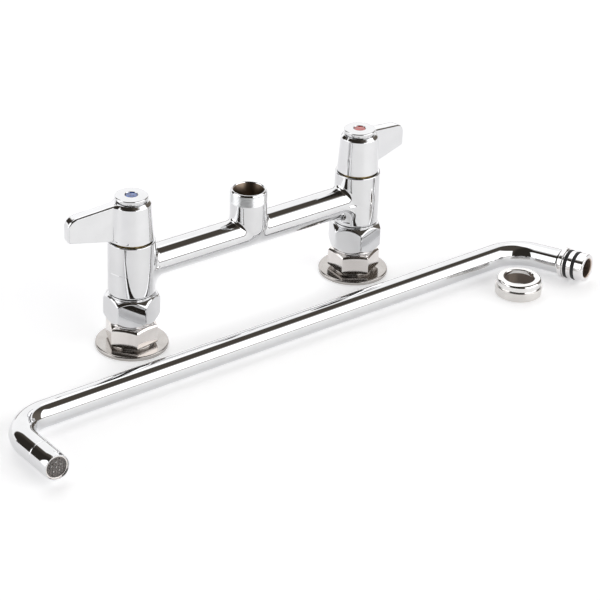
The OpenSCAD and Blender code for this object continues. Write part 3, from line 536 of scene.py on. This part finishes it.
# The tail's lower face runs in to the water way: a flat ring from the lower limb's last row to the upper limb's
tail_face = np.stack((np.roll(column_down[1][-1][::-1], len(lower), axis=0), column_up[1][-1]))
right_half = [bar_grid] + column_up + column_down + [tail_face]
body_grids = [g * (s, 1, 1) for s in (1, -1) for g in right_half]
body_grids += [post_wall, post_mouth[1:], post_thread, turned(post_socket, post_rays)]
body_chrome = chrome("cast_chrome", rough=0.04, wave=0.35, grain=40)
# The socket is bare brass, and its colour is darkened well below the valve brass as painted shade inside the bore.
shaded_bare_brass = satin("shaded_bare_brass", (0.22, 0.17, 0.13), (0.09, 0.07, 0.052), 0.36, (1, 1, 0.04))
thread_chrome = chrome("thread_chrome", tint=(0.78, 0.79, 0.80), rough=0.3, wave=0.2, grain=300)
piece("faucet_casting", "faucet", body_grids, [body_chrome, thread_chrome, shaded_bare_brass], ["faucet_body"],
      marks=[0] * (len(body_grids) - 2) + [1, 2])


# ------------------------------
# Valves. Brass bonnets screwed into the columns hold two ceramic discs and a stem; they stay as the
# frame has them, and only each bonnet's flange shows, in the gap under its handle.
# ------------------------------
valve_brass = satin("valve_brass", (0.62, 0.47, 0.22), (0.50, 0.37, 0.16), 0.28, (0.1, 0.1, 1))
spring_steel = satin("spring_steel", (0.56, 0.56, 0.57), (0.48, 0.48, 0.50), 0.25, (1, 1, 0.2))
rubber = finish_of("black_rubber", specular_ior_level=0.4,
                   base_color=lambda s: noise(s, 400, 3).mix((0.010, 0.010, 0.011), (0.022, 0.022, 0.023)),
                   roughness=lambda s: 0.38 + 0.2 * noise(s, 700, 3),
                   normal=lambda s: s.node("Bump", {}, {"Strength": 0.2, "Distance": 0.00004,
                                                        "Height": noise(s, 1500, 2)}))
ceramic = finish_of("ceramic", base_color=lambda s: noise(s, 300, 4).mix((0.80, 0.78, 0.72), (0.88, 0.86, 0.82)),
                    roughness=lambda s: 0.12 + 0.1 * noise(s, 500, 3), coat_weight=0.3)
grey_plastic = finish_of("grey_plastic", roughness=lambda s: 0.35 + 0.15 * noise(s, 900, 2),
                         base_color=lambda s: noise(s, 500, 3).mix((0.035, 0.033, 0.032), (0.055, 0.052, 0.05)))
inner_finish = {"bonnet": valve_brass, "stem": valve_brass, "tail_ring": valve_brass, "stem_clip": spring_steel,
                "handle_screw": spring_steel, "seat_seal": rubber, "stem_seal": rubber, "union_washer": rubber,
                "fixed_disc": ceramic, "moving_disc": ceramic}
kept = {f"{word}_{part}": finish for word in ("cold", "hot") for part, finish in inner_finish.items()}
kept.update(outlet_diffuser=grey_plastic, outlet_gasket=rubber)
for name, finish in kept.items():
    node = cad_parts[name]
    node.data.materials.clear()
    node.data.materials.append(finish)


# ------------------------------
# Handles. Each is a zinc casting, chrome plated: a tapered hub over the valve with one flat lever,
# thin and deep, that runs out of it in soft fillets and slopes down to a rounded tip.
# ------------------------------
handle_z, hub_h = 85.6, 29.2
rim_r, shoulder_r, hub_round = 15.7, 14.0, 0.9
hub_bevel_r, hub_bevel_h = 1.9, 2.2
lever_reach, blade_half, blade_edge, blade_fillet = 48.8, 4.7, 0.15, 2.6
edge_bevel, edge_lean = 0.7, np.radians(58)
low_hub, low_tip, high_hub, high_tip = 0.8, 5.3, 31.0, 22.7
tip_round, heel_round, tip_edge, tip_edge_len = 7.0, 2.0, 2.2, 8
top_face_r, back_angle = 10, 12
hub_side = outline([(rim_r - 1.5, 0, 0), (rim_r, 0, 0.35), (shoulder_r, hub_h - hub_bevel_h, hub_round),
                    (shoulder_r - hub_bevel_r, hub_h, 0.5), (top_face_r, hub_h, 0)], steps=8)[2:-2]


def rounded_corner(a, b, radius):
    """Signed distance inside both of two edges, their corner rounded by this radius: near the corner it is the
    distance to the circle that touches both, and elsewhere the greater of the two."""
    return np.hypot((a + radius).clip(0), (b + radius).clip(0)) - radius + np.minimum(np.maximum(a, b) + radius, 0)


def lever_handle(point):
    """Signed distance to hub and lever. x runs out along the lever and z up from the rim. The lever is its side
    view drawn out to both faces, and a fillet joins it to the hub. A narrow bevel cuts its edges: side times the
    sine of its lean and face times the cosine, plus what it takes off. The edge rounds off towards the tip, by
    the square of the share of the last few millimetres."""
    x, y, z = point[..., 0], point[..., 1], point[..., 2]
    hub = np.hypot(x, y) - np.interp(z, hub_side[:, 1], hub_side[:, 0])
    fall = (high_hub - high_tip) / lever_reach
    climb = (low_tip - low_hub) / (lever_reach - rim_r)
    above = (z - high_hub + fall * x) / np.hypot(1, fall)
    below = (low_hub + climb * (x - rim_r) - z) / np.hypot(1, climb)
    beyond = x - lever_reach
    side = np.maximum(rounded_corner(above, beyond, tip_round), rounded_corner(below, beyond, heel_round))
    near_tip = ((x - lever_reach + tip_edge_len) / tip_edge_len).clip(0, 1)
    edge = blade_edge + (tip_edge - blade_edge) * near_tip ** 2
    face = abs(y) - blade_half
    bevel = side * np.sin(edge_lean) + face * np.cos(edge_lean) + edge_bevel
    blade = np.maximum(np.maximum(rounded_corner(side, face, edge), bevel), -x)
    return rounded_union(hub, blade, blade_fillet)


heights = np.unique(np.concatenate((hub_side[:, 1], np.linspace(0.5, 6.4, 26), np.linspace(6.9, 13.5, 10),
                                    np.linspace(14.1, hub_h - 0.05, 120))).round(5))
heights = heights[np.concatenate(((True,), np.diff(heights) > 0.004))]
# Rays leave a spine that runs out inside the lever: round the hub at its start, square to it along its length, and
# round the tip at its end
spine_end = np.interp(heights, (0, 0.8, 1.8, 6, 13, 20, 23, 25, 27, 28.2, 29.2),
                      (0, 8, 14, 42, 43, 42, 36, 25, 15, 9, 6))
hub_rays, face_rays, tip_rays = 26, 72, 20
spin = np.radians(np.concatenate((np.linspace(180, 92, hub_rays), np.full(face_rays, 90.0),
                                  np.linspace(88, 0, tip_rays))))
spread = np.concatenate((np.zeros(hub_rays), np.linspace(0, 1, face_rays), np.ones(tip_rays)))
spin = np.concatenate((spin, -spin[-2:0:-1]))
spread = np.concatenate((spread, spread[-2:0:-1]))
spine = np.dstack((spine_end[:, None] * spread[None], np.zeros((len(heights), len(spin))),
                   np.broadcast_to(heights[:, None], (len(heights), len(spin)))))
spine_way = np.broadcast_to(np.column_stack((np.cos(spin), np.sin(spin), 0 * spin)), spine.shape)
handle_skin = cast(lever_handle, spine, spine_way, limb_reach)
top_rays, low_rays = (row[:, :2] / np.hypot(*row[:, :2].T)[:, None] for row in (handle_skin[-1], handle_skin[0]))
cap_bore, cap_floor, screw_r, web_z = 9.1, 24.4, 2.0, 23
rim_bore, rim_depth, skirt_bore, skirt_depth, stem_bore = 13.9, 2.5, 12.6, 14, 4.05
hub_top = turned(outline([(9.8, hub_h, 0), (cap_bore, hub_h, 0.25), (cap_bore, cap_floor, 0.2),
                          (screw_r, cap_floor, 0.1), (screw_r, web_z, 0), (0, web_z, 0)]), top_rays)
hub_top = np.concatenate((handle_skin[-1:], hub_top))
hub_under = turned(outline([(14.6, 0, 0), (rim_bore, 0, 0.3), (rim_bore, rim_depth, 0.2), (skirt_bore, rim_depth, 0.2),
                            (skirt_bore, skirt_depth, 0.3), (stem_bore, skirt_depth, 0.2), (stem_bore, web_z, 0.1),
                            (0, web_z, 0)]), low_rays)
hub_under = np.concatenate((handle_skin[:1], hub_under))
handle_chrome = chrome("handle_chrome", tint=(0.73, 0.733, 0.742), rough=0.045, wave=0.3, grain=45)
for side, word in ((cold, "cold"), (hot, "hot")):
    way = np.radians(180 - back_angle if side == cold else back_angle)
    turn_to = np.array(((np.cos(way), np.sin(way), 0), (-np.sin(way), np.cos(way), 0), (0, 0, 1)))
    piece(f"{word}_lever_handle", f"{word}_valve",
          [shifted(g @ turn_to, side * centres / 2, 0, handle_z) for g in (handle_skin, hub_top, hub_under)],
          [handle_chrome], [f"{word}_handle"])


# ------------------------------
# Caps. A turned chrome button pressed into each hub, with a small dished recess that holds the
# coloured index: a domed disc of clear-coated plastic, blue for cold and red for hot.
# ------------------------------
def circle(count=128):
    """Unit vectors at even angles round a circle."""
    turn = 2 * np.pi * np.arange(count) / count
    return np.column_stack((np.cos(turn), np.sin(turn)))


cap_r, cap_z, cap_top, cap_round = 11.9, 114.9, 118.9, 1.7
index_r, index_floor, index_edge, dome_h = 4.4, 117.7, 0.4, 0.3
skirt_in, skirt_out, skirt_foot = 6.05, 9.05, 110
cap_side = outline([(0, cap_z, 0), (skirt_in, cap_z, 0.2), (skirt_in, skirt_foot, 0.2), (skirt_out, skirt_foot, 0.3),
                    (skirt_out, cap_z, 0.2), (cap_r - 0.5, cap_z, 0.5), (cap_r, cap_top - 2.2, 0.8),
                    (cap_r, cap_top - 0.25, cap_round), (6.2, cap_top, 2.0), (4.8, cap_top - 0.05, 0.1),
                    (4.5, cap_top - 0.4, 0.1), (4.45, index_floor, 0.1), (0, index_floor, 0)], steps=8)
cap_chrome = chrome("cap_chrome", rough=0.04, wave=0.2, grain=80)
# The index's side is a short upright edge, and its dome is a quarter of an ellipse
dome = np.linspace(0, 1, 9)[1:] * np.pi / 2
index_side = np.vstack((
    outline([(0, index_floor, 0), (index_r, index_floor, 0.05), (index_r, index_floor + index_edge, 0.1)]),
    np.column_stack((index_r * np.cos(dome), index_floor + index_edge + dome_h * np.sin(dome)))))
for side, word, deep, pale in ((cold, "cold", (0.01, 0.03, 0.16), (0.06, 0.16, 0.55)),
                               (hot, "hot", (0.30, 0.01, 0.01), (0.75, 0.06, 0.04))):
    piece(f"{word}_cap_button", f"{word}_valve",
          [shifted(turned(cap_side, circle()), side * centres / 2)], [cap_chrome], [f"{word}_cap"])
    colour = finish_of(f"{word}_index_colour", coat_weight=0.6,
                       base_color=lambda s: noise(s, 500, 2).step(0.35, 0.65).mix(deep, pale),
                       roughness=lambda s: 0.1 + 0.1 * noise(s, 900, 2))
    piece(f"{word}_index_disc", f"{word}_valve",
          [shifted(turned(index_side, circle(64)), side * centres / 2)], [colour], [f"{word}_index"])


# ------------------------------
# Spout tube. One length of chromed brass tube, bent at both ends, lying on the bench on its long
# run and on the plug's retaining ring. Its near end holds the outlet screen, the far end the plug.
# ------------------------------
tube_r, tube_wall = 9.525, 1.2
span, inlet_turn, inlet_bend, inlet_leg = 455.0, np.radians(70), 29.0, 63.0
outlet_turn, outlet_bend, outlet_leg = np.radians(87.5), 30.0, 67.0
plug_len, retainer_mid, retainer_r = 21.2, 18.5, 11.9
roll = -np.arcsin((retainer_r - tube_r) / ((inlet_leg - retainer_mid) * np.sin(inlet_turn)))
yaw, corner_x, corner_y = np.radians(0.2), 214.3, -58.4


def laid(grid):
    """Carries points from the spout's own plane to where it lies: rolled about its long run, then turned."""
    x, y, z = grid[..., 0], grid[..., 1], grid[..., 2]
    y, z = y * np.cos(roll) - z * np.sin(roll), y * np.sin(roll) + z * np.cos(roll)
    x, y = x * np.cos(yaw) - y * np.sin(yaw), x * np.sin(yaw) + y * np.cos(yaw)
    return np.stack((x + corner_x, y + corner_y, z + tube_r), -1)


def bend_line():
    """The tube's axis as points and headings: straight, an arc of the bend's radius, straight, arc, straight.
    The heading turns evenly along each arc."""
    first = inlet_leg - inlet_bend * np.tan(inlet_turn / 2) - plug_len
    middle = span - inlet_bend * np.tan(inlet_turn / 2) - outlet_bend * np.tan(outlet_turn / 2)
    last = outlet_leg - outlet_bend * np.tan(outlet_turn / 2)
    lengths = np.array((first, inlet_bend * inlet_turn, middle, outlet_bend * outlet_turn, last))
    ends = np.concatenate(((0,), np.cumsum(lengths)))
    heading_in, both_turns = np.pi - inlet_turn, inlet_turn + outlet_turn
    turned_by = (0, 0, inlet_turn, inlet_turn, both_turns, both_turns)
    counts = (14, 49, 101, 65, 38)
    spots = np.concatenate([np.linspace(a, b, n)[:-1] for a, b, n in zip(ends[:-1], ends[1:], counts)] + [ends[-1:]])
    heading = heading_in + np.interp(spots, ends, turned_by)
    fine = np.linspace(0, ends[-1], 20001)
    course = heading_in + np.interp(fine, ends, turned_by)
    stride = fine[1]
    mid = (course[1:] + course[:-1]) / 2
    x = np.concatenate(((0,), np.cumsum(np.cos(mid) * stride)))
    y = np.concatenate(((0,), np.cumsum(np.sin(mid) * stride)))
    start = (inlet_leg - plug_len) * np.array((np.cos(inlet_turn), -np.sin(inlet_turn)))
    return np.column_stack((start[0] + np.interp(spots, fine, x), start[1] + np.interp(spots, fine, y))), heading


def swept(line, heading, radius, rays, slide=0.0):
    """A circle of each row's radius carried along the axis, square to its heading; slide moves a row along it."""
    radius = np.broadcast_to(radius, heading.shape)
    along_x, along_y = np.cos(heading), np.sin(heading)
    out = radius[:, None] * rays[None, :, 0]
    x = line[:, 0, None] + np.broadcast_to(slide, heading.shape)[:, None] * along_x[:, None] - out * along_y[:, None]
    y = line[:, 1, None] + np.broadcast_to(slide, heading.shape)[:, None] * along_y[:, None] + out * along_x[:, None]
    return np.dstack((x, y, radius[:, None] * rays[None, :, 1]))


line, heading = bend_line()
# The last 26 mm of the tube: a rolled groove, and a wall drawn in towards the mouth by the square of the share
mouth_r, groove_in, tube_bore, drawn = 9.05, 0.2, tube_r - tube_wall, np.linspace(0, 1, 13)
mouth = np.vstack((
    outline([(tube_r, -26, 0), (tube_r, -21.0, 0.3), (tube_r - groove_in, -20.5, 0.4), (tube_r, -20.0, 0.3),
             (tube_r, -9, 0)]),
    np.column_stack((tube_r + (mouth_r - tube_r) * drawn ** 2, -7.5 + 7.1 * drawn)),
    outline([(mouth_r, -0.35, 0), (mouth_r - 0.05, 0, 0.3), (tube_bore, 0, 0.3), (tube_bore, -9, 0)])))
mouth_line = np.repeat(line[-1:], len(mouth), 0)
mouth_heading = np.repeat(heading[-1:], len(mouth))
tube_rays = circle(112)
before = slice(0, -26)
tube_grids = [swept(line[before], heading[before], tube_r, tube_rays),
              swept(mouth_line, mouth_heading, mouth[:, 0], tube_rays, mouth[:, 1]),
              swept(line[before][::-1], heading[before][::-1], tube_bore, tube_rays)]
tube_chrome = chrome("tube_chrome", rough=0.03, wave=0.2, grain=30)
piece("spout_pipe", "spout", [laid(np.vstack(tube_grids))], [tube_chrome], ["spout_tube"], ring=True)


# ------------------------------
# Spout plug. A turned plug brazed into the tube's inlet end: a bevelled nose, two seal grooves and
# a groove for the split retaining ring, all chromed outside, with a bare water way.
# ------------------------------
nose = inlet_leg * np.array((np.cos(inlet_turn), -np.sin(inlet_turn), 0))
inward = np.array((-np.cos(inlet_turn), np.sin(inlet_turn), 0))


def on_axis(grid, start, axis):
    """Stands a piece turned about z on a line in the spout's plane: its z runs from start along axis."""
    across = np.array((-axis[1], axis[0], 0))
    return laid(start + grid[..., 2:3] * axis + grid[..., 0:1] * np.array((0, 0, 1.0)) + grid[..., 1:2] * across)


plug_r, plug_bore, groove_r, keeper_groove_r = 10.8, 7.2, 8.7, 9.0
grooves, keeper_groove = ((6.8, 9.6), (13.2, 16.0)), (17.0, 20.0)
collar_r, shank_r, plug_end, nose_bevel = 10.4, 8.275, 29.2, 0.6
plug_out = [(plug_bore + nose_bevel, 0, 0.2), (plug_r, 0, 0.6)]
for low, high in grooves:
    plug_out += [(plug_r, low, 0.15), (groove_r, low, 0.1), (groove_r, high, 0.1), (plug_r, high, 0.15)]
plug_out += [(plug_r, keeper_groove[0], 0.15), (keeper_groove_r, keeper_groove[0], 0.1),
             (keeper_groove_r, keeper_groove[1], 0.1), (collar_r, keeper_groove[1], 0.1), (collar_r, plug_len, 0.3),
             (shank_r, plug_len, 0.1), (shank_r, plug_end, 0.3), (plug_bore, plug_end, 0)]
plug_in = outline([(plug_bore, plug_end, 0), (plug_bore, nose_bevel, 0.1), (plug_bore + nose_bevel, 0, 0)])
plug_chrome = chrome("plug_chrome", tint=(0.80, 0.79, 0.79), rough=0.09, wave=0.25, grain=200)
plug_brass = satin("plug_brass", (0.60, 0.49, 0.42), (0.44, 0.355, 0.30), 0.5, (1, 1, 0.2))
rays = circle(128)
piece("spout_end_plug", "spout",
      [on_axis(turned(outline(plug_out), rays), nose, inward), on_axis(turned(plug_in, rays), nose, inward)],
      [plug_chrome, plug_brass], ["spout_plug"], marks=(0, 1))

# Seals: two rubber rings of round section, stretched into the plug's grooves
seal_mid_r, seal_r = 9.925, 1.175
seal_ring = circle(28) * seal_r
piece("spout_seals", "spout",
      [on_axis(turned(seal_ring + (seal_mid_r, (low + high) / 2), rays), nose, inward) for low, high in grooves],
      [rubber], ["plug_seals"], ring=True)

# Retaining ring: a flat split ring, bright plated like the plug and sprung into its groove
keeper_in, keeper_low, keeper_high, half_gap = 9.05, 17.05, 19.95, 0.125
keeper = outline([(keeper_in, keeper_low, 0.2), (retainer_r, keeper_low, 0.35), (retainer_r, keeper_high, 0.35),
                  (keeper_in, keeper_high, 0.2)], closed=True)
gap_turn = np.linspace(np.pi + half_gap, 3 * np.pi - half_gap, 121)
keeper_rays = np.column_stack((np.cos(gap_turn), np.sin(gap_turn)))
keeper_grid = turned(keeper, keeper_rays)
centre_of_section = keeper_grid.mean(0, keepdims=True)
keeper_grid = np.concatenate((np.repeat(centre_of_section[:, :1], len(keeper), 0), keeper_grid,
                              np.repeat(centre_of_section[:, -1:], len(keeper), 0)), 1)
piece("spout_keeper", "spout",
      [on_axis(keeper_grid, nose, inward)], [plug_chrome], ["plug_retaining_ring"], around=False, ring=True)


# ------------------------------
# Outlet. A thin nickel ring inside the tube's mouth holds a woven steel screen over the grey
# plastic diffuser; every wire passes over and under the wires that cross it.
# ------------------------------
outlet_face = np.array((-span - outlet_leg * np.cos(outlet_turn), -outlet_leg * np.sin(outlet_turn), 0))
upstream = np.array((np.cos(outlet_turn), np.sin(outlet_turn), 0))
ring_r, ring_wall, ring_top, ring_foot = 8.275, 1.0, 0.9, 8.5
ring_side = outline([(ring_r, ring_top, 0.15), (ring_r - ring_wall, ring_top, 0.35),
                     (ring_r - ring_wall, ring_foot, 0.1), (ring_r, ring_foot, 0.1)], closed=True)
piece("outlet_band", "spout", [on_axis(turned(ring_side, rays), outlet_face, upstream)],
      [nickel], ["outlet_ring"], ring=True)
screen_r, screen_pitch, wire_r, screen_level = 7.2, 1.15, 0.21, 1.9
screen_steel = satin("screen_steel", (0.42, 0.385, 0.365), (0.26, 0.235, 0.22), 0.16, (1, 1, 1))
wire_rows, wire_sides = 60, 8
wire_round = circle(wire_sides) * wire_r
wires = []
# A wire's lift is its radius times the cosine of half a turn for each pitch along it, the rows in turn high and low
for direction in (0, 1):
    for row in np.arange(-6, 7):
        away = row * screen_pitch
        half_chord = np.sqrt(screen_r ** 2 - away ** 2)
        run = np.linspace(-half_chord, half_chord, wire_rows)
        lift = wire_r * np.cos(np.pi * (run / screen_pitch + row + direction))
        wire = np.dstack((np.broadcast_to(run[:, None], (wire_rows, wire_sides)),
                          away + np.broadcast_to(wire_round[None, :, 0], (wire_rows, wire_sides)),
                          screen_level + lift[:, None] + wire_round[None, :, 1]))
        ends = [np.repeat(end.mean(1, keepdims=True), wire_sides, 1) for end in (wire[:1], wire[-1:])]
        wire = np.concatenate((ends[0], wire, ends[1]))
        wires.append(wire if direction == 0 else wire[..., (1, 0, 2)])
# Small bright pips stand up through the mesh: one in the middle and five on a ring, each a low dome on a short foot
pip_r, pip_ring, pip_foot, pip_sink = 0.5, 3.6, 0.6, 0.2
bow = np.linspace(0, np.pi / 2, 7)
pip_side = np.vstack(((0, pip_foot), (pip_r, pip_foot),
                      np.column_stack((pip_r * np.cos(bow), -pip_r * np.sin(bow)))))
pip_spots = np.vstack(((0, 0), circle(5) * pip_ring))
pips = [shifted(turned(pip_side, circle(16)), x, y, screen_level - pip_sink) for x, y in pip_spots]
pip_steel = satin("pip_steel", (0.80, 0.79, 0.78), (0.62, 0.61, 0.60), 0.2, (1, 1, 1))
piece("outlet_mesh", "spout", [on_axis(w, outlet_face, upstream) for w in wires + pips],
      [screen_steel, pip_steel], ["outlet_screen"], marks=[0] * len(wires) + [1] * len(pips))


# ------------------------------
# Spout nut, standing beside the spout. A satin nickel band below a polished rounded shoulder, and an
# inward lip that bears on the retaining ring. Inside it is bare brass, darkened as painted shade: a plain wall, with no
# thread cut.
# ------------------------------
nut_spot = (183.4, -98.6)
band_r, band_h, nut_groove_r, nut_groove_top = 17.8, 7.2, 16.3, 8.0
nut_shoulder_r, nut_h, shoulder_round = 16.9, 13, 2.4
nut_bore, nut_bore_top, nut_lip_r, nut_lip_bevel, ledge_r = 13.8, 9.8, 11.4, 0.6, 17.2
nut_out = outline([(nut_bore, 0, 0), (band_r, 0, 0.6), (band_r, band_h, 0.4), (ledge_r, band_h, 0)])
nut_upper = outline([(ledge_r, band_h, 0), (nut_groove_r, band_h, 0.1), (nut_groove_r, nut_groove_top, 0.1),
                     (nut_shoulder_r, nut_groove_top, 0.3), (nut_shoulder_r, nut_h, shoulder_round),
                     (nut_lip_r + nut_lip_bevel, nut_h, 0.3), (nut_lip_r, nut_h - nut_lip_bevel, 0.2),
                     (nut_lip_r, nut_bore_top, 0.3), (nut_bore, nut_bore_top, 0)], steps=10)
nut_wall = turned([(nut_bore, z) for z in np.linspace(nut_bore_top, 0, 70)], rays)
nut_nickel = satin("nut_nickel", (0.79, 0.77, 0.75), (0.67, 0.65, 0.63), 0.15, (0.03, 0.03, 1))
# The nut's bore is bare brass, its colour darkened as painted shade inside the nut.
shaded_nut_brass = satin("shaded_nut_brass", (0.30, 0.25, 0.21), (0.14, 0.115, 0.10), 0.3, (0.2, 0.2, 1))
piece("spout_coupling_nut", "faucet",
      [shifted(g, *nut_spot) for g in (turned(nut_out, rays), turned(nut_upper, rays), nut_wall)],
      [nut_nickel, chrome("nut_shoulder_chrome", tint=(0.80, 0.79, 0.78)), shaded_nut_brass], ["spout_nut"], marks=(0, 1, 2))
